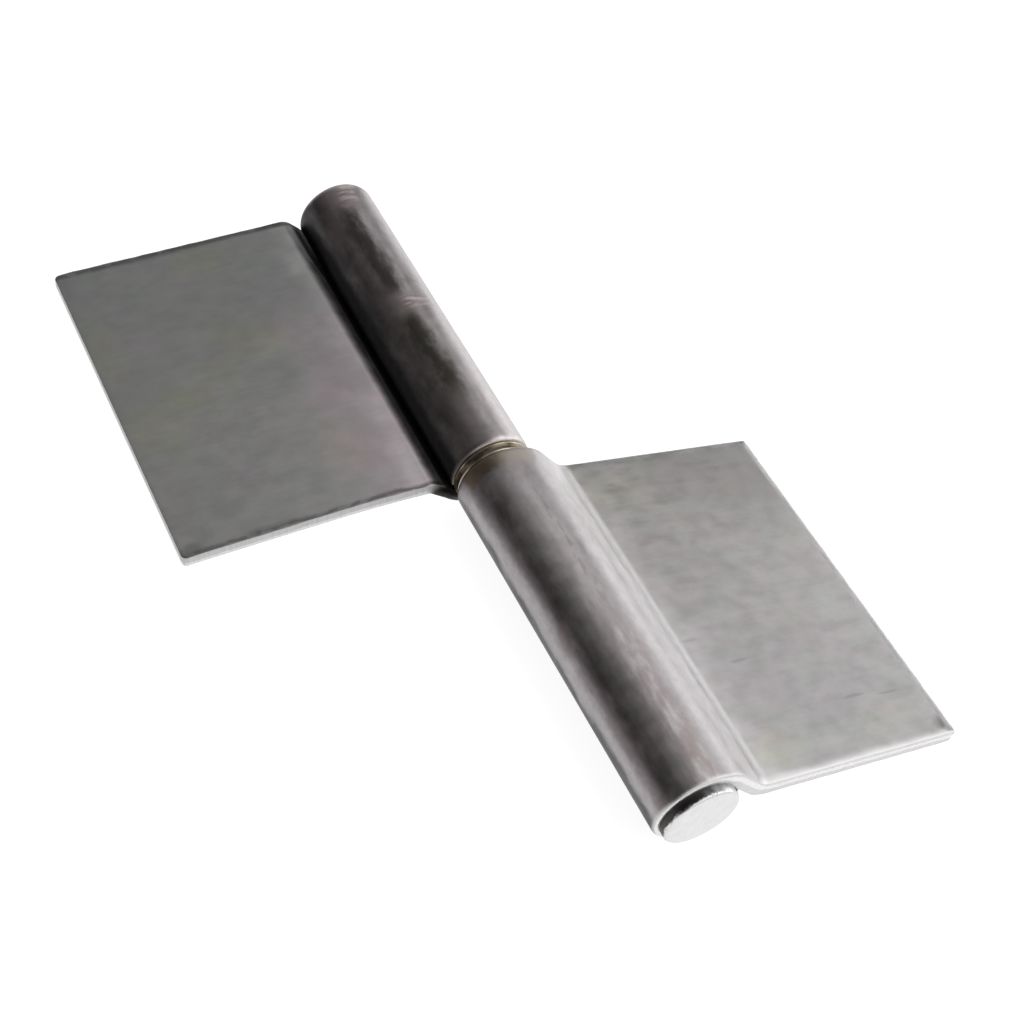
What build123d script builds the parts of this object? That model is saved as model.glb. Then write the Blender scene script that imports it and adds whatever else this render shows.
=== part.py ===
from build123d import *
import math
import os

# Sheet blank, the same for both leaves.
sheet_thickness = 2.5
leaf_length = 69.0
leaf_reach = 55.0
corner_radius = 1.0
rollover_radius = 0.8
edge_break = 0.15

# Knuckle curled from the blank. Its section is drawn about the barrel axis, with the leaf along X.
pin_diameter = 10.0
curl_leave_angle = 115.0
easing_extra = 2.4
flank_slope = 37.0
crease_radius = 6.0
seam_gap = 0.35

# Pin: pressed into one knuckle, running free in the other.
running_clearance = 0.05
pin_head_overlap = 1.5
pin_head_height = 1.85
pin_head_chamfer = 0.3
pin_tip_chamfer = 1.5
pin_tip_recess = 3.0

# Washer between the two knuckles.
washer_thickness = 1.9
washer_inset = 0.5
washer_clearance = 0.08
washer_side_play = 0.05
washer_edge_radius = 0.3

half_sheet = sheet_thickness / 2
pin_radius = pin_diameter / 2
running_radius = pin_radius - running_clearance
curl_radius = pin_radius + half_sheet
barrel_radius = pin_radius + sheet_thickness
knuckle_gap = washer_thickness + 2 * washer_side_play

# Easing arc: where the curl opens out, with its centre across the axis from the point where it starts.
flank_normal = 90 - flank_slope
easing_radius = curl_radius + easing_extra
easing_sweep = curl_leave_angle - flank_normal
easing_x = -easing_extra * math.cos(math.radians(curl_leave_angle))
easing_y = -easing_extra * math.sin(math.radians(curl_leave_angle))

# Crease: the reverse bend that turns the sloping flank into the flat leaf.
slope_sin = math.sin(math.radians(flank_slope))
slope_cos = math.cos(math.radians(flank_slope))
flank_drop = easing_y + easing_radius * slope_cos - crease_radius * (1 - slope_cos)
crease_x = easing_x + (easing_radius + crease_radius) * slope_sin + flank_drop * slope_cos / slope_sin
crease_y = crease_radius

# Seam: the curl ends where its outer corner comes within the seam gap of the flank.
flank_inside = easing_x * slope_sin + easing_y * slope_cos + easing_radius - half_sheet
seam_angle = flank_normal - math.degrees(math.acos((flank_inside - seam_gap) / barrel_radius))
curl_sweep = 360 + seam_angle - curl_leave_angle

# The open hinge lies on its barrel and on the outer edges of both leaves, which droop to the floor.
rest_x = leaf_reach - easing_x
rest_y = half_sheet - easing_y
rest_radius = easing_radius + half_sheet
droop = math.asin(rest_radius / math.hypot(rest_x, rest_y)) - math.atan2(rest_y, rest_x)
axis_height = leaf_reach * math.sin(droop) + half_sheet * math.cos(droop)

# Places along the barrel, with the middle of the whole length at zero.
barrel_middle = pin_head_height / 2
pin_knuckle_top = barrel_middle - knuckle_gap / 2
pin_knuckle_foot = pin_knuckle_top - leaf_length
lift_knuckle_top = barrel_middle + knuckle_gap / 2 + leaf_length

pin_leaf_plane = Plane(
    origin=(0, pin_knuckle_top, axis_height),
    x_dir=(math.cos(droop), 0, -math.sin(droop)),
    z_dir=(0, -1, 0),
)
lift_leaf_plane = Plane(
    origin=(0, lift_knuckle_top, axis_height),
    x_dir=(-math.cos(droop), 0, -math.sin(droop)),
    z_dir=(0, -1, 0),
)
pin_foot_plane = Plane(origin=(0, pin_knuckle_foot, axis_height), z_dir=(0, 1, 0))
pin_knuckle_top_plane = Plane(origin=(0, pin_knuckle_top, axis_height), z_dir=(0, 1, 0))

# Blank: cropped sheet, curled at one side. The punch rolled one face's rim over and left the other sharp.
with BuildPart() as blank:
    with BuildSketch():
        with BuildLine():
            outer_curl = CenterArc((0, 0), barrel_radius, curl_leave_angle, curl_sweep)
            inner_curl = CenterArc((0, 0), pin_radius, curl_leave_angle, curl_sweep)
            Line(outer_curl @ 1, inner_curl @ 1)
            outer_easing = CenterArc(
                (easing_x, easing_y), easing_radius + half_sheet, flank_normal, easing_sweep
            )
            inner_easing = CenterArc(
                (easing_x, easing_y), easing_radius - half_sheet, flank_normal, easing_sweep
            )
            outer_crease = CenterArc(
                (crease_x, crease_y), crease_radius - half_sheet, 270 - flank_slope, flank_slope
            )
            inner_crease = CenterArc(
                (crease_x, crease_y), crease_radius + half_sheet, 270 - flank_slope, flank_slope
            )
            Line(outer_easing @ 0, outer_crease @ 0)
            Line(inner_easing @ 0, inner_crease @ 0)
            Polyline(
                outer_crease @ 1,
                (leaf_reach, half_sheet),
                (leaf_reach, -half_sheet),
                inner_crease @ 1,
            )
        make_face()
    extrude(amount=leaf_length)
    fillet(blank.edges().filter_by(Axis.Y), corner_radius)
    outer_rims = blank.edges().filter_by(Axis.Z).sort_by(Axis.X)[-2:].sort_by(Axis.Y)
    fillet(outer_rims[-1], rollover_radius)
    sharp_rim = blank.edges().filter_by(Axis.Z).sort_by(Axis.X)[-2:].sort_by(Axis.Y)[0]
    chamfer(sharp_rim, edge_break)

# Leaf that holds the pin: its sheet passes over the barrel.
with BuildPart(pin_leaf_plane) as pin_leaf:
    add(blank.part)

# Leaf that lifts off: the same blank turned over, so its sheet passes under the barrel.
with BuildPart(lift_leaf_plane) as lift_leaf:
    add(blank.part)

# Pin: an upset head outside the knuckle, a pressed shank, then a slightly thinner running shank.
with BuildPart() as hinge_pin:
    with BuildSketch(pin_foot_plane):
        Circle(pin_radius + pin_head_overlap)
    extrude(amount=-pin_head_height)
    chamfer(hinge_pin.edges().sort_by(Axis.Y)[0], pin_head_chamfer)
    with BuildSketch(pin_foot_plane):
        Circle(pin_radius)
    extrude(amount=leaf_length)
    with BuildSketch(pin_knuckle_top_plane):
        Circle(running_radius)
    extrude(amount=knuckle_gap + leaf_length - pin_tip_recess)
    chamfer(hinge_pin.edges().sort_by(Axis.Y)[-1], pin_tip_chamfer)

# Brass washer that the lift-off knuckle turns on.
with BuildPart() as brass_washer:
    with BuildSketch(pin_knuckle_top_plane.offset(washer_side_play)):
        Circle(barrel_radius - washer_inset)
        Circle(running_radius + washer_clearance, mode=Mode.SUBTRACT)
    extrude(amount=washer_thickness)
    washer_circles = brass_washer.edges().filter_by(GeomType.CIRCLE)
    fillet(washer_circles.group_by(SortBy.RADIUS)[-1], washer_edge_radius)

os.makedirs("parts", exist_ok=True)
pin_leaf.part.label = "pin_leaf"
export_step(pin_leaf.part, "parts/pin_leaf.step")
lift_leaf.part.label = "lift_leaf"
export_step(lift_leaf.part, "parts/lift_leaf.step")
hinge_pin.part.label = "hinge_pin"
export_step(hinge_pin.part, "parts/hinge_pin.step")
brass_washer.part.label = "brass_washer"
export_step(brass_washer.part, "parts/brass_washer.step")
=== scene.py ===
import bmesh
import bpy
import math
from mathutils import Matrix, Vector, noise
from types import SimpleNamespace


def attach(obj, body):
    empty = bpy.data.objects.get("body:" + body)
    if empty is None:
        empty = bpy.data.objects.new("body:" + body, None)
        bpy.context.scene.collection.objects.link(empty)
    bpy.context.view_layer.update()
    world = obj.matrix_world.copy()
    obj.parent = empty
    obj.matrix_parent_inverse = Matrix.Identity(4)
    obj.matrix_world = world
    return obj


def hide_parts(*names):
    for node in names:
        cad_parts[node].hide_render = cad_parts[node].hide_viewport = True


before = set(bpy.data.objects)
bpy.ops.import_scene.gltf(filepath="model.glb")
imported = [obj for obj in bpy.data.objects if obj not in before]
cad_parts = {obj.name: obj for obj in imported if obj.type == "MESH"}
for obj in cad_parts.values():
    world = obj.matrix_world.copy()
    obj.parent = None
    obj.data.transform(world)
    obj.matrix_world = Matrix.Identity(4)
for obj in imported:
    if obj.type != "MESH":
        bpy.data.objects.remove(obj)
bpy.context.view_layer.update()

# Leaf that holds the pin: a blank of 2.5 mm rolled steel sheet, cropped in a press tool and then curled round
# the pin at one side. The punch rolls the rims of one face over, leaves a burr round the other, and makes a
# cut edge that is bright near the rolled rim and torn below it.
mm = 0.001
sheet_thickness = 2.5
half_sheet = sheet_thickness / 2
leaf_length = 69.0
leaf_reach = 55.0
corner_radius = 1.0
rollover_radius = 0.5
edge_break = 0.15
rollover_width = 2.0
knuckle_rollover_width = 1.0
rollover_depth = 0.32
burr_width = 0.7
burr_height = 0.22
outer_setback = 0.03
pin_radius = 5.0
curl_radius = pin_radius + half_sheet
barrel_radius = pin_radius + sheet_thickness
curl_leave_angle = math.radians(115)
easing_extra = 2.4
easing_radius = curl_radius + easing_extra
flank_slope = math.radians(37)
crease_radius = 6.0
seam_gap = 0.35

# The section of the curled blank is drawn about the pin's axis with the flat of the leaf along its first
# axis. Its fold is the crease and the sloping flank that join the flat to the curl.
easing_centre = Vector((math.cos(curl_leave_angle), math.sin(curl_leave_angle))) * -easing_extra


def folded(slope, radius):
    """A fold of a given slope and crease radius: its points, and its places along the blank's middle line."""
    fold = SimpleNamespace(radius=radius, normal=math.pi / 2 - slope)
    fold.side = Vector((math.sin(slope), math.cos(slope)))
    fold.way = Vector((-math.cos(slope), math.sin(slope)))
    flank_top = easing_centre + easing_radius * fold.side
    fold.flank_length = (flank_top.y - radius * (1 - math.cos(slope))) / fold.way.y
    fold.foot = flank_top - fold.way * fold.flank_length
    fold.centre = fold.foot + radius * fold.side
    fold.crease_start = leaf_reach - fold.centre.x
    fold.flank_start = fold.crease_start + radius * slope
    fold.easing_start = fold.flank_start + fold.flank_length
    fold.curl_start = fold.easing_start + easing_radius * (curl_leave_angle - fold.normal)
    flank_inside = easing_centre.dot(fold.side) + easing_radius - half_sheet
    seam_angle = fold.normal - math.acos((flank_inside - seam_gap) / barrel_radius)
    fold.blank_width = fold.curl_start + curl_radius * (2 * math.pi + seam_angle - curl_leave_angle)
    return fold


pin_leaf_fold = folded(flank_slope, crease_radius)

# The open hinge lies on its barrel and on the outer edges of both leaves, which droop to the floor.
rest_arm = Vector((leaf_reach, half_sheet)) - easing_centre
droop = math.asin((easing_radius + half_sheet) / rest_arm.length) - math.atan2(rest_arm.y, rest_arm.x)
axis_height = leaf_reach * math.sin(droop) + half_sheet * math.cos(droop)
joint_middle = 0.925
knuckle_gap = 2.0
pin_knuckle_top = joint_middle - knuckle_gap / 2


def curled(fold, along, out):
    """Where a point of the flat blank lies once the blank is curled, in the section of the leaf."""
    if along < fold.crease_start:
        return Vector((leaf_reach - along, out))
    if along < fold.flank_start:
        turn = (along - fold.crease_start) / fold.radius
        return fold.centre - (fold.radius - out) * Vector((math.sin(turn), math.cos(turn)))
    if along < fold.easing_start:
        return fold.foot + fold.way * (along - fold.flank_start) + fold.side * out
    if along < fold.curl_start:
        turn = fold.normal + (along - fold.easing_start) / easing_radius
        return easing_centre + (easing_radius + out) * Vector((math.cos(turn), math.sin(turn)))
    turn = curl_leave_angle + (along - fold.curl_start) / curl_radius
    return (curl_radius + out) * Vector((math.cos(turn), math.sin(turn)))


def spread(start, stop, step):
    """Even places between two ends, without the ends, no further apart than the step."""
    count = math.ceil((stop - start) / step)
    return [start + (stop - start) * k / count for k in range(1, count)]


# Sizes of the small faces that the blank is cut into, so that it can bend and ripple.
rim_step = 0.3
bend_step = 0.4
bends_in_crease = 10
curl_step = 0.6
leaf_step = 1.5
down_step = 1.1
edge_step = 0.3
corner_steps = 6
rollover_steps = 5
break_steps = 2
same_place = 0.01
corner_facet_angle = 0.5


def flat_blank(fold):
    """The cropped blank before curling, with rounded corners and rims, cut into small faces."""
    mesh = bmesh.new()
    bmesh.ops.create_cube(mesh, size=1)
    blank_size = Vector((fold.blank_width, leaf_length, sheet_thickness))
    for vert in mesh.verts:
        vert.co = (vert.co + Vector((0.5, 0.5, 0))) * blank_size
    corners = [e for e in mesh.edges if all(v.co.x < same_place for v in e.verts)
               and abs(e.verts[0].co.z - e.verts[1].co.z) > half_sheet]
    bmesh.ops.bevel(mesh, geom=corners, offset=corner_radius, segments=corner_steps, profile=0.5,
                    affect="EDGES")
    for side, size, steps in ((1, rollover_radius, rollover_steps), (-1, edge_break, break_steps)):
        rim = [e for e in mesh.edges if all(v.co.z * side > half_sheet - same_place for v in e.verts)
               and not all(v.co.x > fold.blank_width - same_place for v in e.verts)
               and not (len(e.link_faces) == 2 and e.calc_face_angle() < corner_facet_angle)]
        bmesh.ops.bevel(mesh, geom=rim, offset=size, segments=steps, profile=0.5, affect="EDGES")
    along_cuts = spread(rollover_radius, rollover_width, rim_step)
    along_cuts += spread(rollover_width, fold.crease_start, leaf_step)
    along_cuts += spread(fold.crease_start, fold.flank_start, min(bend_step, fold.radius / bends_in_crease))
    along_cuts += spread(fold.flank_start, fold.easing_start, curl_step)
    along_cuts += spread(fold.easing_start, fold.curl_start, curl_step)
    along_cuts += spread(fold.curl_start, fold.blank_width, curl_step)
    along_cuts += [fold.crease_start, fold.flank_start, fold.easing_start, fold.curl_start, rollover_width]
    far_rim = leaf_length - rollover_width
    down_cuts = spread(rollover_radius, rollover_width, rim_step)
    down_cuts += spread(rollover_width, far_rim, down_step)
    down_cuts += spread(far_rim, leaf_length - rollover_radius, rim_step)
    down_cuts += [rollover_width, far_rim]
    out_cuts = spread(-half_sheet + edge_break, half_sheet - rollover_radius, edge_step)
    cuts = [((p, 0, 0), (1, 0, 0)) for p in along_cuts]
    cuts += [((0, p, 0), (0, 1, 0)) for p in down_cuts]
    cuts += [((0, 0, p), (0, 0, 1)) for p in out_cuts]
    for place, normal in cuts:
        everything = mesh.verts[:] + mesh.edges[:] + mesh.faces[:]
        bmesh.ops.bisect_plane(mesh, geom=everything, dist=1e-5, plane_co=place, plane_no=normal)
    return mesh


# Unevenness left by the press: broad and small ripples, and a ragged burr.
broad_ripple = (9, 14)
small_ripple = (4, 6)
small_ripple_share = 0.5
ripple_height = 0.04
ripple_starts_over = 8
ripple_ends_over = 6
curl_ripple = 0.012
rollover_ripple = 0.3
burr_raggedness = (1.3, 20)
burr_level = 0.75
burr_swing = 0.5
burr_starts_over = 3
sag_start = 26
sharp_angle = math.radians(40)


def leaf_piece(name, fold, out_way, up_way, top, seed, sag):
    """A leaf made from the blank: curled, turned to its side of the hinge and set along the barrel."""
    mesh = flat_blank(fold)
    place_layer = mesh.verts.layers.float_vector.new("blank_place")
    rim_layer = mesh.verts.layers.float.new("rim_share")
    for vert in mesh.verts:
        along, down, out = vert.co
        side_rim = min(down, leaf_length - down)
        rim = min(along, side_rim)
        on_knuckle = min(1, max(0, (along - fold.flank_start) / fold.flank_length))
        rim_width = rollover_width + (knuckle_rollover_width - rollover_width) * on_knuckle
        rim_share = max(0, 1 - rim / rim_width)
        vert[place_layer] = (along, down, out)
        vert[rim_layer] = rim_share
        ripple = noise.noise(Vector((along / broad_ripple[0], down / broad_ripple[1], seed)))
        small = noise.noise(Vector((along / small_ripple[0], down / small_ripple[1], seed + 7)))
        ripple += small_ripple_share * small
        lift = ripple_height * ripple * min(1, along / ripple_starts_over)
        lift *= min(1, max(0, (fold.flank_start - along) / ripple_ends_over))
        near_crease = min(1, max(0, (along - sag_start) / (fold.crease_start - sag_start))) ** 2
        past_crease = min(1, max(0, (fold.easing_start - along) / (fold.easing_start - fold.crease_start)))
        lift += sag * near_crease * past_crease * (down / leaf_length)
        outer_share = max(0, out / half_sheet)
        if along > fold.flank_start:
            lift -= curl_ripple * (1 + ripple) * outer_share
        lift -= rollover_depth * rim_share ** 2 * (1 + rollover_ripple * ripple) * outer_share
        if out < 0 and side_rim < burr_width and along < fold.easing_start:
            ragged = noise.noise(Vector((along / burr_raggedness[0], seed, down / burr_raggedness[1])))
            raised = burr_height * (1 - side_rim / burr_width) ** 2 * (burr_level + burr_swing * ragged)
            lift += raised * min(1, along / burr_starts_over) * out / half_sheet
        setback = outer_setback * max(0, 1 - along / rollover_width)
        spot = curled(fold, along + setback, out + lift)
        place = out_way * spot.x + up_way * spot.y
        vert.co = Vector((place.x, top - down, place.z + axis_height)) * mm
    bmesh.ops.recalc_face_normals(mesh, faces=mesh.faces)
    data = bpy.data.meshes.new(name)
    mesh.to_mesh(data)
    mesh.free()
    data.shade_smooth()
    data.set_sharp_from_angle(angle=sharp_angle)
    piece = bpy.data.objects.new(name, data)
    bpy.context.scene.collection.objects.link(piece)
    weighted = piece.modifiers.new("even_shading", "WEIGHTED_NORMAL")
    weighted.keep_sharp = True
    return piece


def add(tree, kind, settings=None, **links):
    """A node with its settings made and its inputs joined or filled in; names use _ for a space."""
    made = tree.nodes.new(kind)
    for key, value in (settings or {}).items():
        setattr(made, key, value)
    for key, value in links.items():
        numbered = key[0] == "i" and key[1:].isdigit()
        socket = made.inputs[int(key[1:])] if numbered else made.inputs[key.replace("_", " ")]
        if isinstance(value, bpy.types.NodeSocket):
            tree.links.new(value, socket)
        else:
            socket.default_value = value
    return made


def stored(tree, name, kind):
    """What the mesh keeps at each of its points: a place or a number."""
    return add(tree, "ShaderNodeAttribute", {"attribute_name": name}).outputs[kind]


def cloud(tree, place, size, detail, seed):
    """Soft random variation between 0 and 1, as large as the given millimetres each way."""
    spot = add(tree, "ShaderNodeMapping", None, Vector=place, Location=(seed, seed, seed),
               Scale=[1 / s for s in size])
    made = add(tree, "ShaderNodeTexNoise", None, Vector=spot.outputs[0], Scale=1.0, Detail=detail,
               Roughness=0.6)
    return made.outputs["Fac"]


def fade(tree, value, start, stop, low=0.0, high=1.0):
    """A smooth change from low to high while the value goes from start to stop."""
    made = add(tree, "ShaderNodeMapRange", {"interpolation_type": "SMOOTHSTEP"}, Value=value,
               From_Min=start, From_Max=stop, To_Min=low, To_Max=high)
    return made.outputs[0]


def reckon(tree, operation, first, *others):
    """One kind of arithmetic, from left to right over the values."""
    for other in others:
        first = add(tree, "ShaderNodeMath", {"operation": operation}, i0=first, i1=other).outputs[0]
    return first


def plus(tree, *values):
    """Values added up."""
    return reckon(tree, "ADD", *values)


def times(tree, *values):
    """Values multiplied."""
    return reckon(tree, "MULTIPLY", *values)


def most(tree, *values):
    """The greatest of the values."""
    return reckon(tree, "MAXIMUM", *values)


def off(tree, value, middle):
    """How far a value is from a middle, either way."""
    gap = reckon(tree, "SUBTRACT", value, middle)
    return add(tree, "ShaderNodeMath", {"operation": "ABSOLUTE"}, i0=gap).outputs[0]


def blend(tree, amount, below, above):
    """A change from one colour to another."""
    below, above = ([*c, 1] if isinstance(c, tuple) else c for c in (below, above))
    made = add(tree, "ShaderNodeMix", {"data_type": "RGBA"}, i0=amount, i6=below, i7=above)
    return made.outputs[2]


def brighten(tree, colour, factor):
    """A colour made lighter or darker."""
    colour = [*colour, 1] if isinstance(colour, tuple) else colour
    return add(tree, "ShaderNodeHueSaturation", None, Color=colour, Value=factor).outputs[0]


def tinted(tree, colour, tint):
    """A colour multiplied by another."""
    return add(tree, "ShaderNodeVectorMath", {"operation": "MULTIPLY"}, i0=colour, i1=tint).outputs[0]


def nudged(tree, place, ragged, reach):
    """Places moved about by a ragged cloud, up to the given millimetres each way."""
    pushed = add(tree, "ShaderNodeVectorMath", {"operation": "MULTIPLY_ADD"}, i0=ragged,
                 i1=[2 * r for r in reach], i2=place)
    made = add(tree, "ShaderNodeVectorMath", {"operation": "SUBTRACT"}, i0=pushed.outputs[0], i1=reach)
    return made.outputs[0]


def marks(tree, place, spots):
    """Soft marks on the blank: along, down, half length, half width and strength of each."""
    total = 0.0
    for along, down, length, width, strength in spots:
        spot = add(tree, "ShaderNodeMapping", None, Vector=place,
                   Location=(-along / length, -down / width, 0), Scale=(1 / length, 1 / width, 0))
        reach = add(tree, "ShaderNodeVectorMath", {"operation": "LENGTH"}, i0=spot.outputs[0])
        total = most(tree, total, fade(tree, reach.outputs["Value"], 1.0, 0.25, 0.0, strength))
    return total


def tones(tree, place_along, stops):
    """A colour that changes along the blank: each stop is a place in millimetres and the colour there."""
    span = 100.0
    ramp = add(tree, "ShaderNodeValToRGB", None, Fac=reckon(tree, "DIVIDE", place_along, span))
    ramp.color_ramp.interpolation = "B_SPLINE"
    elements = ramp.color_ramp.elements
    while len(elements) < len(stops):
        elements.new(0.5)
    for element, (stop, colour) in zip(elements, stops):
        element.position = stop / span
        element.color = (*colour, 1)
    return ramp.outputs[0]


def empty_material(name):
    """A material with no nodes yet, and its tree."""
    made = bpy.data.materials.new(name)
    made.use_nodes = True
    made.node_tree.nodes.clear()
    return made, made.node_tree


def bare_metal(tree, colour, rough, height, strength, depth):
    """The last nodes of a bare metal: its relief, its shader and the output."""
    relief = add(tree, "ShaderNodeBump", None, Height=height, Strength=strength, Distance=depth * mm)
    shader = add(tree, "ShaderNodeBsdfPrincipled", None, Base_Color=colour, Metallic=1.0, Roughness=rough,
                 Normal=relief.outputs[0])
    add(tree, "ShaderNodeOutputMaterial", None, Surface=shader.outputs[0])


# Colours of the sheet, and the part of a cloud's range that a change of tone follows.
mid_range = (0.3, 0.7)
full_range = (0.2, 0.8)
green_grey = (0.978, 1.004, 0.985)
purple_grey = (1.022, 0.992, 1.0)
olive_hue = (1.025, 1.035, 0.905)
crease_highlight_steel = (0.62, 0.61, 0.61)
rolled_steel = (0.6, 0.59, 0.59)
outer_steel = (0.3, 0.295, 0.295)
sheared_share = (1.0, 0.985, 0.985)
torn_share = (0.87, 0.86, 0.86)
thin_stain = (0.5, 0.46, 0.38)
thick_stain = (0.12, 0.1, 0.09)
deep_shade = (0.02, 0.018, 0.017)
mark_share = 0.5
burr_shadow_share = 0.4

# Where one look of the sheet gives way to the next, in millimetres along, down or through the blank.
upper_face = (half_sheet - 0.5, half_sheet - 0.35)
lower_face = (-half_sheet + 0.12, -half_sheet + 0.04)
highlight_before_flank = 1.0
highlight_width = (0.9, 0.1)
outer_edge = (2.4, 1.6)
burr_line_near = (0.1, 0.35)
burr_line_far = (1.4, 0.6)
cut_through = (half_sheet - 0.08, half_sheet - 0.16)
cut_from_rim = (0.3, 0.1)
tear_line = (0.1, -0.1)
stain_thickens = (78, 82)


def sheet_steel(name, fold, *, far_tint, near_tint, tint_reach, crease_painted_sheen, crease_hue, crease_blend,
                streaks, olive_spots, dark_spots, curl_tones_and_painted_light, film, joint_end, burr_line, edge_tint,
                edge_shade, seed):
    """Bare rolled sheet: streaks across the leaf, lengthwise streaks and a brown film on the curl, with
    painted
    light and shade: bands on the curl, a sheen and a highlight line by the crease, a shadow beside the burr
    and shade on the cut edge by the barrel.
    """
    made, tree = empty_material(name)
    place = stored(tree, "blank_place", "Vector")
    rim_share = stored(tree, "rim_share", "Fac")
    along, down, out = add(tree, "ShaderNodeSeparateXYZ", None, i0=place).outputs
    mottle = cloud(tree, place, size=(4, 3, 8), detail=7.0, seed=seed)
    broad = cloud(tree, place, size=(16, 13, 20), detail=3.0, seed=seed + 3)
    across = cloud(tree, place, size=(9, 0.7, 3), detail=5.0, seed=seed + 5)
    lengthwise = cloud(tree, place, size=(0.8, 14, 3), detail=4.0, seed=seed + 9)
    fine = cloud(tree, place, size=(0.5, 0.5, 0.5), detail=2.0, seed=seed + 11)
    on_curl = fade(tree, along, fold.flank_start - 1.5, fold.flank_start + 2)
    grain = plus(tree, times(tree, across, fade(tree, on_curl, 1, 0)), times(tree, lengthwise, on_curl))

    # Flat of the leaf: green and purple greys drift into each other, with olive stains and dark marks.
    ragged = add(tree, "ShaderNodeTexNoise", None, Vector=place, Scale=0.25, Detail=6.0).outputs["Color"]
    wander_down = plus(tree, down, fade(tree, broad, *full_range, -14, 14))
    colour = blend(tree, fade(tree, wander_down, 2, tint_reach), far_tint, near_tint)
    patches = cloud(tree, place, size=(7, 6, 9), detail=6.0, seed=seed + 15)
    drift = fade(tree, patches, 0.38, 0.62)
    colour = tinted(tree, colour, blend(tree, drift, green_grey, purple_grey))
    stains = marks(tree, nudged(tree, place, ragged, (3.0, 3.0, 0)), olive_spots)
    colour = blend(tree, stains, colour, tinted(tree, colour, olive_hue))
    wander_along = plus(tree, along, fade(tree, broad, *mid_range, -3, 3))
    by_crease = fade(tree, wander_along, fold.crease_start - 16, fold.crease_start - 5)
    by_crease = times(tree, by_crease, fade(tree, down, 12, 40))
    colour = blend(tree, by_crease, colour, tinted(tree, colour, crease_hue))
    tone = plus(tree, fade(tree, mottle, *mid_range, 0.935, 1.06),
                fade(tree, grain, *mid_range, -streaks, streaks))
    # Painted sheen: the flat is made brighter towards the crease, where it tilts towards the lamps.
    wander_along = plus(tree, along, fade(tree, broad, *mid_range, -2, 2))
    painted_sheen = fade(tree, wander_along, fold.crease_start - 5, fold.crease_start + 1, 1.0, crease_painted_sheen)
    colour = brighten(tree, colour, times(tree, tone, painted_sheen))
    dark_marks = marks(tree, nudged(tree, place, ragged, (0.8, 0.4, 0)), dark_spots)
    colour = blend(tree, dark_marks, colour, tuple(c * mark_share for c in far_tint))

    # Curl: painted bands of light and shade across the flank and barrel, standing for the lamps and the floor
    # that it reflects, with a brown film over them.
    haze = cloud(tree, place, size=(3, 8, 9), detail=6.0, seed=seed + 41)
    specks = cloud(tree, place, size=(0.8, 1.5, 2), detail=3.0, seed=seed + 45)
    wander = plus(tree, along, fade(tree, haze, *full_range, -0.9, 0.9))
    curl_tone = plus(tree, fade(tree, lengthwise, *mid_range, 0.955, 1.035),
                     fade(tree, mottle, *mid_range, -0.05, 0.05), fade(tree, specks, 0.35, 0.65, -0.06, 0.05))
    curl_colour_and_painted_light = brighten(tree, tones(tree, wander, curl_tones_and_painted_light), curl_tone)
    film_mask, film_colour = film(tree, place, wander, seed)
    curl_colour_and_painted_light = blend(tree, film_mask, curl_colour_and_painted_light, film_colour)
    colour = blend(tree, fade(tree, along, *crease_blend), colour, curl_colour_and_painted_light)

    # Painted highlight: a thin bright line on the upper face where the crease turns into the flank.
    face_up = fade(tree, out, *upper_face)
    from_line = off(tree, along, fold.flank_start - highlight_before_flank)
    painted_crease_highlight = times(tree, fade(tree, from_line, *highlight_width, 0.0, 0.12), face_up)
    colour = blend(tree, painted_crease_highlight, colour, crease_highlight_steel)

    # Rolled rim: brighter towards the edge, and along the outer edge only at its very rim.
    by_joint = fade(tree, down, *joint_end)
    at_joint = times(tree, by_joint, fade(tree, along, fold.easing_start, fold.curl_start))
    rim_wander = plus(tree, rim_share, fade(tree, mottle, *full_range, -0.12, 0.12))
    at_outer_edge = fade(tree, along, *outer_edge)
    outer_rolled = times(tree, at_outer_edge, fade(tree, rim_wander, 0.0, 0.35))
    rolled = most(tree, fade(tree, rim_wander, 0.1, 0.9), outer_rolled)
    rolled = times(tree, rolled, face_up, fade(tree, at_joint, 1, 0))
    outer_tone = blend(tree, fade(tree, rim_wander, 0.62, 0.84), outer_steel, rolled_steel)
    rim_tone = blend(tree, at_outer_edge, rolled_steel, outer_tone)
    colour = blend(tree, rolled, colour, rim_tone)

    # Burr side: a painted shadow, a dark broken line beside the side edges just inside the burr.
    side_rim = reckon(tree, "MINIMUM", down, reckon(tree, "SUBTRACT", leaf_length, down))
    from_side = plus(tree, side_rim, fade(tree, mottle, *full_range, -0.35, 0.35))
    face_down = fade(tree, out, *lower_face)
    beside = times(tree, fade(tree, from_side, *burr_line_near), fade(tree, from_side, *burr_line_far))
    gaps = cloud(tree, place, size=(3, 3, 9), detail=3.0, seed=seed + 21)
    broken = fade(tree, gaps, 0.38, 0.5, 0.25, burr_line)
    painted_burr_shadow = times(tree, beside, face_down, broken)
    colour = blend(tree, painted_burr_shadow, colour, tuple(c * burr_shadow_share for c in far_tint))

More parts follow.
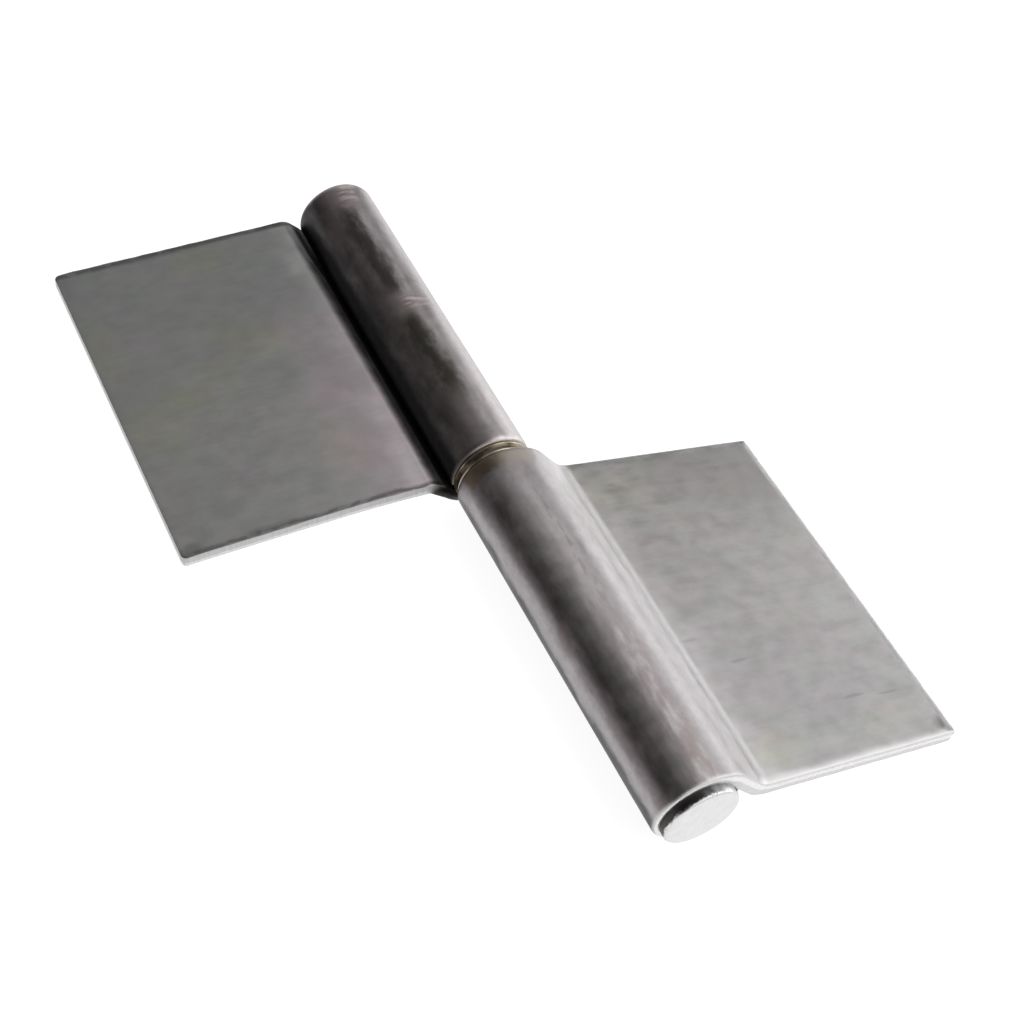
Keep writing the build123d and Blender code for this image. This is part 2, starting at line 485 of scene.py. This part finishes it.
    # Cut edge: bright where it was sheared, a little duller and rough where it tore, and painted shade on it
    # by the barrel.
    from_rim = reckon(tree, "MINIMUM", along, side_rim)
    from_middle = off(tree, out, 0.0)
    cut = times(tree, fade(tree, from_middle, *cut_through), fade(tree, from_rim, *cut_from_rim))
    torn = fade(tree, plus(tree, out, fade(tree, mottle, *full_range, -0.3, 0.3)), *tear_line)
    sheared_steel = tuple(edge_tint * c for c in sheared_share)
    torn_steel = tuple(edge_tint * c for c in torn_share)
    edge_streaks = cloud(tree, place, size=(0.6, 0.6, 8), detail=3.0, seed=seed + 31)
    edge_colour = blend(tree, torn, sheared_steel, torn_steel)
    edge_colour = brighten(tree, edge_colour, fade(tree, edge_streaks, *mid_range, 0.92, 1.04))
    stained = blend(tree, fade(tree, wander, *stain_thickens), thin_stain, thick_stain)
    stained = brighten(tree, stained, fade(tree, haze, *mid_range, 0.75, 1.2))
    edge_colour = blend(tree, at_joint, edge_colour, stained)
    before_curl = fade(tree, along, fold.curl_start, fold.easing_start)
    painted_shade_by_barrel = times(tree, by_joint, fade(tree, along, *edge_shade), before_curl)
    edge_colour = blend(tree, painted_shade_by_barrel, edge_colour, deep_shade)
    colour = blend(tree, cut, colour, edge_colour)

    torn_rough = times(tree, torn, fade(tree, cut, 0, 1, 0, 0.2))
    film_rough = times(tree, film_mask, fade(tree, along, fold.flank_start, fold.curl_start, 0.45, 0.1))
    rough = plus(tree, fade(tree, mottle, *mid_range, 0.38, 0.46),
                 fade(tree, grain, *mid_range, -0.02, 0.02), torn_rough, film_rough)
    height = plus(tree, times(tree, grain, 0.22), times(tree, fine, 0.3), mottle)
    bare_metal(tree, colour, rough, height, strength=0.5, depth=0.05)
    return made


# Colours of the film on this leaf's curl, and where it lies along and down the blank.
brown_haze = (0.33, 0.275, 0.27)
thin_oil = (0.48, 0.445, 0.385)
thick_oil = (0.2, 0.155, 0.105)
crown_near = (54.5, 56.5)
crown_far = (63, 58)
crown_thickens = (10, 64)
dark_line_place = 56.8
dark_line_width = (0.9, 0.1)
oil_reach = (6, 2)
oil_near = (52, 56)
oil_far = (66, 64.5)
oil_thickens = (57, 61)


def pin_leaf_film(tree, place, wander, seed):
    """Brown haze on the crown, thickest near the head, a broken dark line, and oil by the joint."""
    along, down = add(tree, "ShaderNodeSeparateXYZ", None, i0=place).outputs[:2]
    haze = cloud(tree, place, size=(1.2, 5, 9), detail=5.0, seed=seed + 51)
    crown = times(tree, fade(tree, wander, *crown_near), fade(tree, wander, *crown_far),
                  fade(tree, haze, 0.35, 0.6, 0.1, 0.8), fade(tree, down, *crown_thickens, 0.25, 0.9))
    gaps = cloud(tree, place, size=(0.7, 2.5, 9), detail=4.0, seed=seed + 55)
    broken = fade(tree, gaps, 0.4, 0.6, 0.0, 0.6)
    line = times(tree, fade(tree, off(tree, along, dark_line_place), *dark_line_width), broken)
    shore = cloud(tree, place, size=(3, 3, 9), detail=4.0, seed=seed + 57)
    reach = plus(tree, down, fade(tree, shore, *mid_range, -1.2, 1.2))
    joint = times(tree, fade(tree, reach, *oil_reach), fade(tree, wander, *oil_near),
                  fade(tree, wander, *oil_far, 0.2, 0.95))
    oil = blend(tree, fade(tree, wander, *oil_thickens), thin_oil, thick_oil)
    return most(tree, crown, line, joint), blend(tree, joint, brown_haze, oil)


pin_leaf_olive = [(35.8, 7.5, 8, 7, 0.4), (35.7, 63.8, 8, 5, 0.55), (11.9, 63.8, 9, 4, 0.3),
                  (20, 40, 12, 5, 0.2)]
pin_leaf_marks = [(39.1, 40.7, 2.5, 0.6, 0.25), (32.3, 46.4, 3.5, 0.5, 0.3), (15.5, 57.8, 4, 0.5, 0.4),
                  (8.5, 58.6, 3.5, 0.5, 0.35), (1.5, 66.9, 3.2, 2.9, 1.0), (24, 7.0, 9, 0.9, 0.15),
                  (20, 4.4, 8, 0.7, 0.2), (30, 11.5, 7, 0.7, 0.12), (36, 36, 2.5, 0.7, 0.15),
                  (6, 2, 26, 26, 0.38), (20, 52, 24, 18, 0.1)]
# Colours along the curl: the steel with painted bands of reflected light and shade, and painted shade on its
# underside.
pin_leaf_curl_painted_light = [(42.2, (0.37, 0.365, 0.365)), (43.6, (0.31, 0.306, 0.306)), (45.2, (0.64, 0.62, 0.63)),
                 (50, (0.57, 0.55, 0.56)), (52.4, (0.385, 0.367, 0.374)), (55, (0.39, 0.373, 0.38)),
                 (57.5, (0.58, 0.555, 0.56)), (61, (0.6, 0.555, 0.562)), (62.6, (0.385, 0.34, 0.346)),
                 (63.6, (0.205, 0.174, 0.178)), (65, (0.215, 0.192, 0.196)), (66.2, (0.425, 0.402, 0.412)),
                 (67.5, (0.363, 0.348, 0.356)), (68.5, (0.05, 0.05, 0.05)), (70.5, (0.04, 0.04, 0.04))]
pin_leaf_finish = sheet_steel(
    "pin_leaf_sheet", pin_leaf_fold, far_tint=(0.4, 0.388, 0.378), near_tint=(0.405, 0.393, 0.396),
    tint_reach=50, crease_painted_sheen=1.22, crease_hue=(1.0, 1.0, 1.0), crease_blend=(40.6, 42.8), streaks=0.025,
    olive_spots=pin_leaf_olive, dark_spots=pin_leaf_marks, curl_tones_and_painted_light=pin_leaf_curl_painted_light, film=pin_leaf_film,
    joint_end=(9, 1), burr_line=0.4, edge_tint=0.8, edge_shade=(80, 81), seed=2.0)
pin_out = Vector((math.cos(droop), 0, -math.sin(droop)))
pin_up = Vector((math.sin(droop), 0, math.cos(droop)))
pin_leaf = leaf_piece("leaf_with_pin", pin_leaf_fold, pin_out, pin_up, pin_knuckle_top, seed=3.1, sag=0.0)
pin_leaf.data.materials.append(pin_leaf_finish)
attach(pin_leaf, "pin_side")
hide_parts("pin_leaf")

# Hinge pin: drawn steel rod, pressed into the first leaf's knuckle. Its head was upset in a press, so the
# face is smooth and a little crowned, and the side of the head is coloured dark.
head_overlap = 1.5
head_radius = pin_radius + head_overlap
head_height = 1.85
head_edge = 0.6
head_back_edge = 0.1
head_back_height = 0.15
crown_height = 0.12
crown_radius = head_radius - head_edge
crown_step = 0.8
shank_step = 5.0
running_clearance = 0.05
running_radius = pin_radius - running_clearance
tip_chamfer = 1.5
tip_rounding = 0.3
tip_inset = 0.2
tip_recess = 3.0
head_foot = pin_knuckle_top - leaf_length
head_face = head_foot - head_height
pin_tip = joint_middle + knuckle_gap / 2 + leaf_length - tip_recess
turned_sides = 96
rounding_steps = 6


def turned(name, profile, closed=False):
    """A turned piece: radius and place along the axis of each point, swept round the pin's axis."""
    mesh = bmesh.new()
    place_layer = mesh.verts.layers.float_vector.new("turned_place")
    radius_layer = mesh.verts.layers.float.new("turned_radius")
    rings = []
    for radius, along in profile:
        ring = []
        for k in range(turned_sides if radius > 0 else 1):
            angle = 2 * math.pi * k / turned_sides
            side, up = radius * math.cos(angle), radius * math.sin(angle)
            vert = mesh.verts.new(Vector((side, along, up + axis_height)) * mm)
            vert[place_layer] = (side, along, up)
            vert[radius_layer] = radius
            ring.append(vert)
        rings.append(ring)
    for first, second in zip(rings, rings[1:] + rings[:1] if closed else rings[1:]):
        for k in range(turned_sides):
            j = (k + 1) % turned_sides
            loop = [first[k % len(first)], first[j % len(first)]]
            loop += [second[j % len(second)], second[k % len(second)]]
            mesh.faces.new(list(dict.fromkeys(loop)))
    bmesh.ops.recalc_face_normals(mesh, faces=mesh.faces)
    data = bpy.data.meshes.new(name)
    mesh.to_mesh(data)
    mesh.free()
    data.shade_smooth()
    data.set_sharp_from_angle(angle=sharp_angle)
    piece = bpy.data.objects.new(name, data)
    bpy.context.scene.collection.objects.link(piece)
    return piece


def rounded(centre_radius, centre_along, size, start, stop):
    """Points of a rounded edge, between two angles in degrees measured from straight out."""
    angles = [math.radians(start + (stop - start) * k / rounding_steps) for k in range(rounding_steps + 1)]
    return [(centre_radius + size * math.cos(a), centre_along + size * math.sin(a)) for a in angles]


pin_profile = [(0, head_face)]
pin_profile += [(r, head_face + crown_height * (r / crown_radius) ** 2)
                for r in spread(0, crown_radius, crown_step)]
pin_profile += rounded(crown_radius, head_face + crown_height + head_edge, head_edge, -90, 0)
pin_profile += [(head_radius, head_foot - head_back_height), (head_radius - head_back_edge, head_foot)]
pin_profile += [(pin_radius, head_foot)]
pin_profile += [(pin_radius, y) for y in spread(head_foot, pin_knuckle_top, shank_step)]
pin_profile += [(pin_radius, pin_knuckle_top), (running_radius, pin_knuckle_top)]
pin_profile += [(running_radius, y) for y in spread(pin_knuckle_top, pin_tip - tip_chamfer, shank_step)]
pin_profile += [(running_radius, pin_tip - tip_chamfer)]
pin_profile += rounded(running_radius - tip_chamfer - tip_inset, pin_tip - tip_rounding, tip_rounding,
                       30, 90)
pin_profile += [(0, pin_tip)]
pressed_face = (0.69, 0.69, 0.69)
dark_head_side = (0.07, 0.066, 0.064)
dark_side_begins = (head_face + 0.35, head_face + 0.75)
dark_side_ends = (head_foot + 0.4, head_foot + 0.2)
dark_side_thins = (-2.0, 5.0)


def pin_steel():
    """Bright pressed face with faint rings and dents; the side of the head coloured dark."""
    made, tree = empty_material("pin_rod")
    place = stored(tree, "turned_place", "Vector")
    radius = stored(tree, "turned_radius", "Fac")
    side, along = add(tree, "ShaderNodeSeparateXYZ", None, i0=place).outputs[:2]
    mottle = cloud(tree, place, size=(2.5, 6, 2.5), detail=5.0, seed=4.0)
    rings = add(tree, "ShaderNodeMath", {"operation": "SINE"}, i0=times(tree, radius, 14.0)).outputs[0]
    scratches = cloud(tree, place, size=(0.35, 9, 4), detail=3.0, seed=8.0)
    tone = plus(tree, fade(tree, mottle, *mid_range, 0.92, 1.04), fade(tree, rings, -1, 1, -0.015, 0.015),
                fade(tree, scratches, *mid_range, -0.03, 0.03))
    colour = brighten(tree, pressed_face, tone)
    shreds = cloud(tree, place, size=(0.8, 0.8, 0.8), detail=3.0, seed=9.0)
    ragged_along = plus(tree, along, fade(tree, shreds, *mid_range, -0.2, 0.2))
    # The side of the head is coloured dark.
    beyond_face = fade(tree, ragged_along, *dark_side_begins)
    on_head = fade(tree, along, *dark_side_ends)
    thin_side = plus(tree, side, fade(tree, mottle, *full_range, -2, 2))
    dark_patch = times(tree, beyond_face, on_head, fade(tree, thin_side, *dark_side_thins, 1.0, 0.2))
    colour = blend(tree, dark_patch, colour, dark_head_side)
    rough = plus(tree, fade(tree, mottle, *mid_range, 0.26, 0.36), fade(tree, dark_patch, 0, 1, 0, 0.2))
    height = plus(tree, mottle, times(tree, rings, 0.06))
    bare_metal(tree, colour, rough, height, strength=0.25, depth=0.08)
    return made


pin = turned("headed_pin", pin_profile)
pin.data.materials.append(pin_steel())
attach(pin, "pin_side")
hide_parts("hinge_pin")

# Washer: a ring of turned brass that slips over the pin. The other leaf's knuckle turns on it, and its rim
# is worn to a shallow hollow, darkened by brown tarnish and by painted shade between the knuckles.
washer_thickness = 1.9
bore_clearance = 0.08
washer_inset = 0.5
side_play = 0.05
washer_bore = running_radius + bore_clearance
washer_radius = barrel_radius - washer_inset
washer_edge = 0.3
washer_hollow = 0.2
washer_foot = pin_knuckle_top + side_play
washer_top = washer_foot + washer_thickness
hollow_places = (0.35, 0.5, 0.65)
washer_profile = [(washer_bore, washer_foot)]
washer_profile += rounded(washer_radius - washer_edge, washer_foot + washer_edge, washer_edge, -90, 0)
washer_profile += [(washer_radius - washer_hollow, washer_foot + washer_thickness * k) for k in hollow_places]
washer_profile += rounded(washer_radius - washer_edge, washer_top - washer_edge, washer_edge, 0, 90)
washer_profile += [(washer_bore, washer_top)]
dull_brass = (0.55, 0.495, 0.395)
brown_tarnish_and_shade = (0.13, 0.095, 0.06)
hollow_darkening_depth = (washer_radius - 0.01, washer_radius - washer_hollow * 0.6)


def washer_metal():
    """Dull brass: turning lines, brown tarnish and painted shade in the hollow, and brighter edges."""
    made, tree = empty_material("washer_brass_metal")
    place = stored(tree, "turned_place", "Vector")
    radius = stored(tree, "turned_radius", "Fac")
    mottle = cloud(tree, place, size=(2, 1, 2), detail=4.0, seed=6.0)
    lines = cloud(tree, place, size=(8, 0.12, 8), detail=2.0, seed=2.0)
    tone = plus(tree, fade(tree, mottle, *mid_range, 0.85, 1.08), fade(tree, lines, *mid_range, -0.05, 0.05))
    colour = brighten(tree, dull_brass, tone)
    # Brown tarnish and painted shade in the hollow between the knuckles.
    tarnish_and_shade = times(tree, fade(tree, radius, *hollow_darkening_depth), fade(tree, mottle, *mid_range, 1.0, 0.7))
    colour = blend(tree, tarnish_and_shade, colour, brown_tarnish_and_shade)
    bare_metal(tree, colour, fade(tree, mottle, *mid_range, 0.3, 0.42), lines, strength=0.3, depth=0.04)
    return made


washer = turned("washer_ring", washer_profile, closed=True)
washer.data.materials.append(washer_metal())
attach(washer, "washer")
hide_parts("brass_washer")

# Leaf that lifts off: the same blank turned over, so its burr side is up and its sheet passes under the
# barrel. Its knuckle runs on the free half of the pin, and it is darker and more stained than the other.
lift_leaf_slope = math.radians(47)
lift_leaf_crease_radius = 2.6
lift_leaf_sag = 0.8
patch_place = 78.0
patch_width = (2.8, 0.3)
patch_top = (3, 9)
patch_foot = (61, 52)
patch_gap_place = 33.5
patch_gap = (0.5, 5)
scale_changes = (26, 40)
scraped_top = (10, 3)
scraped_gap = (3.5, 0.5)
scraped_near = (73, 75)
scraped_far = (80, 76.5)
valley_near = (45.5, 47)
valley_far = (56, 52)
valley_depth = (0.2, -0.6)
valley_narrows = (16, 8)
valley_end_far = (50, 48)
valley_end_reach = (1.6, 0.6)
rim_reach = (1.8, 0.6)
rim_near = (58, 60)
rim_far = (85, 81)
far_scale = (0.085, 0.074, 0.071)
near_scale = (0.077, 0.073, 0.062)
scraped_steel = (0.7, 0.6, 0.6)
painted_rim_highlight = (0.8, 0.77, 0.76)


def lift_leaf_film(tree, place, wander, seed):
    """Dark scaly patches on the curl, with scraped places between them, painted shade in the valley beside it
    and at its far end, and a painted highlight on the rim at its end."""
    along, down, out = add(tree, "ShaderNodeSeparateXYZ", None, i0=place).outputs
    shreds = cloud(tree, place, size=(1.2, 3.5, 9), detail=6.0, seed=seed + 61)
    scrapes = cloud(tree, place, size=(3, 0.8, 9), detail=4.0, seed=seed + 71)
    from_gap = off(tree, down, patch_gap_place)
    patch = times(tree, fade(tree, off(tree, wander, patch_place), *patch_width),
                  fade(tree, shreds, 0.25, 0.5, 0.6, 1.0), fade(tree, from_gap, *patch_gap),
                  fade(tree, down, *patch_foot), fade(tree, down, *patch_top))
    dark_patch = blend(tree, fade(tree, down, *scale_changes), far_scale, near_scale)
    scraped = times(tree, most(tree, fade(tree, down, *scraped_top), fade(tree, from_gap, *scraped_gap)),
                    fade(tree, wander, *scraped_far), fade(tree, wander, *scraped_near),
                    fade(tree, scrapes, 0.38, 0.58, 0.35, 1.0))
    # Painted shade in the valley between the flank and the barrel, and at the far end of the curl.
    inward = plus(tree, along, fade(tree, down, *valley_narrows, 0.0, 1.6))
    painted_valley_shade = times(tree, fade(tree, inward, *valley_near), fade(tree, along, *valley_far),
                   fade(tree, out, *valley_depth, 0.0, 0.95))
    painted_valley_end_shade = times(tree, fade(tree, along, *valley_end_far),
                       fade(tree, down, *valley_end_reach, 0.0, 0.9))
    painted_valley_shade = most(tree, painted_valley_shade, painted_valley_end_shade)
    colour = blend(tree, painted_valley_shade, blend(tree, scraped, dark_patch, scraped_steel), deep_shade)
    # Painted highlight on the rounded rim at the far end of the barrel.
    rim = times(tree, fade(tree, down, *rim_reach), fade(tree, wander, *rim_far, 0.0, 0.8),
                fade(tree, wander, *rim_near))
    return most(tree, patch, scraped, painted_valley_shade, rim), blend(tree, rim, colour, painted_rim_highlight)


lift_leaf_olive = [(28.2, 27.7, 8, 7, 0.9), (24, 24.5, 7, 5, 0.7), (26.1, 5.1, 8, 5, 0.9),
                   (5, 41.5, 8, 9, 0.9), (19.9, 32.3, 7, 6, 0.6), (11.9, 36.8, 9, 6, 0.9),
                   (2.2, 20.6, 5, 12, 0.8), (33, 56, 6, 9, 0.4)]
lift_leaf_marks = [(1.0, 3.0, 1.5, 5, 0.2), (20, 0.8, 20, 1.3, 0.4), (41.5, 0.3, 5, 1.4, 0.8),
                   (2.0, 67.6, 2.5, 2.0, 0.5), (15, 67.8, 7, 0.8, 0.3), (31, 17, 1.2, 0.4, 0.2)]
# Colours along the curl: the steel with painted bands of reflected light and shade, and painted shade towards
# its end.
lift_leaf_curl_painted_light = [(44, (0.55, 0.53, 0.53)), (60, (0.3, 0.28, 0.28)), (70, (0.5, 0.475, 0.48)),
                  (73.6, (0.5, 0.47, 0.475)), (75.9, (0.64, 0.594, 0.6)), (76.9, (0.31, 0.28, 0.28)),
                  (78, (0.31, 0.275, 0.27)), (80.3, (0.35, 0.305, 0.3)), (81.5, (0.22, 0.19, 0.19)),
                  (82.5, (0.09, 0.082, 0.082)), (84, (0.04, 0.038, 0.038)), (86, (0.03, 0.03, 0.03))]
lift_leaf_fold = folded(lift_leaf_slope, lift_leaf_crease_radius)
lift_leaf_finish = sheet_steel(
    "lift_leaf_sheet", lift_leaf_fold, far_tint=(0.365, 0.367, 0.364), near_tint=(0.45, 0.448, 0.441),
    tint_reach=leaf_length, crease_painted_sheen=1.3, crease_hue=(1.13, 1.03, 1.08), crease_blend=(43.6, 46),
    streaks=0.03, olive_spots=lift_leaf_olive, dark_spots=lift_leaf_marks, curl_tones_and_painted_light=lift_leaf_curl_painted_light,
    film=lift_leaf_film, joint_end=(60, 68), burr_line=0.65, edge_tint=0.66, edge_shade=(42.5, 46), seed=5.0)
lift_out = Vector((-math.cos(droop), 0, -math.sin(droop)))
lift_up = Vector((math.sin(droop), 0, -math.cos(droop)))
lift_top = joint_middle + knuckle_gap / 2 + leaf_length
lift_leaf = leaf_piece("leaf_that_lifts_off", lift_leaf_fold, lift_out, lift_up, lift_top, seed=8.4,
                       sag=lift_leaf_sag)
lift_leaf.data.materials.append(lift_leaf_finish)
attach(lift_leaf, "lift_side")
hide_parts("lift_leaf")

# Floor: a wide sheet of white paper that the hinge lies on. It shows white to the camera and in the metal,
# and keeps a soft shadow.
floor_reach = 3.0
paper_colour = 0.33
paper_glow = 0.93
floor_mesh = bpy.data.meshes.new("floor")
floor_corners = [(x * floor_reach, y * floor_reach, 0) for x, y in ((-1, -1), (1, -1), (1, 1), (-1, 1))]
floor_mesh.from_pydata(floor_corners, [], [(0, 1, 2, 3)])
floor = bpy.data.objects.new("floor", floor_mesh)
bpy.context.scene.collection.objects.link(floor)
paper, paper_tree = empty_material("paper")
ray = add(paper_tree, "ShaderNodeLightPath")
seen = most(paper_tree, ray.outputs["Is Camera Ray"], ray.outputs["Is Glossy Ray"],
            ray.outputs["Is Transmission Ray"])
dull = add(paper_tree, "ShaderNodeBsdfDiffuse", None, Color=(paper_colour, paper_colour, paper_colour, 1))
dark = add(paper_tree, "ShaderNodeEmission", None, Color=(0, 0, 0, 1), Strength=0.0)
glow = add(paper_tree, "ShaderNodeEmission", None, Color=(1, 1, 1, 1), Strength=paper_glow)
pick = add(paper_tree, "ShaderNodeMixShader", None, i0=seen, i1=dark.outputs[0], i2=glow.outputs[0])
both = add(paper_tree, "ShaderNodeAddShader", None, i0=dull.outputs[0], i1=pick.outputs[0])
add(paper_tree, "ShaderNodeOutputMaterial", None, Surface=both.outputs[0])
floor_mesh.materials.append(paper)

# Room: a dim even grey all round, with soft rectangular panels of light on stands at the right, above, in
# front and behind. The barrel reflects them, and painted bands of light and shade on its curl add to these
# reflections.
room_grey = 0.05
world = bpy.data.worlds.new("studio")
bpy.context.scene.world = world
world.use_nodes = True
world.node_tree.nodes["Background"].inputs["Color"].default_value = (room_grey, room_grey, room_grey, 1)


def panel(name, place, size, brightness):
    """A soft rectangular lamp panel that faces the hinge."""
    data = bpy.data.lights.new(name, "AREA")
    data.shape = "RECTANGLE"
    data.size, data.size_y = size
    data.energy = math.pi * size[0] * size[1] * brightness
    lamp = bpy.data.objects.new(name, data)
    bpy.context.scene.collection.objects.link(lamp)
    lamp.location = place
    lamp.rotation_euler = (-Vector(place)).to_track_quat("-Z", "Y").to_euler()


panel("side_panel", place=(0.854, 0.12, 0.218), size=(1.0, 0.4), brightness=2.4)
panel("over_panel", place=(0.421, -0.037, 0.795), size=(0.9, 0.6), brightness=1.7)
panel("front_panel", place=(0.308, -0.66, 0.529), size=(1.8, 0.9), brightness=1.2)
panel("back_panel", place=(0.1, 0.712, 0.516), size=(0.8, 0.8), brightness=0.38)

# Camera: a long lens held above the front left of the hinge, and tilted so that the barrel runs down across
# the picture.
picture_width = 1024
focal_pixels = 1675.7
sensor_width = 36
turn = math.radians(-40.22)
height = math.radians(46.713)
roll = math.radians(18.083)
camera_place = Vector((-0.125614, -0.155545, 0.213136))
nearest_seen = 0.01
camera_data = bpy.data.cameras.new("camera")
camera = bpy.data.objects.new("camera", camera_data)
bpy.context.scene.collection.objects.link(camera)
bpy.context.scene.camera = camera
camera_data.sensor_width = sensor_width
camera_data.lens = focal_pixels / picture_width * sensor_width
camera_data.clip_start = nearest_seen
back = Vector((math.sin(turn) * math.cos(height), -math.cos(turn) * math.cos(height), math.sin(height)))
right = (-back).cross(Vector((0, 0, 1))).normalized()
up = right.cross(-back)
tilted_right = right * math.cos(roll) + up * math.sin(roll)
tilted_up = up * math.cos(roll) - right * math.sin(roll)
camera_turn = Matrix((tilted_right, tilted_up, back)).transposed().to_4x4()
camera.matrix_world = Matrix.Translation(camera_place) @ camera_turn

bpy.context.scene.view_settings.view_transform = "Standard"
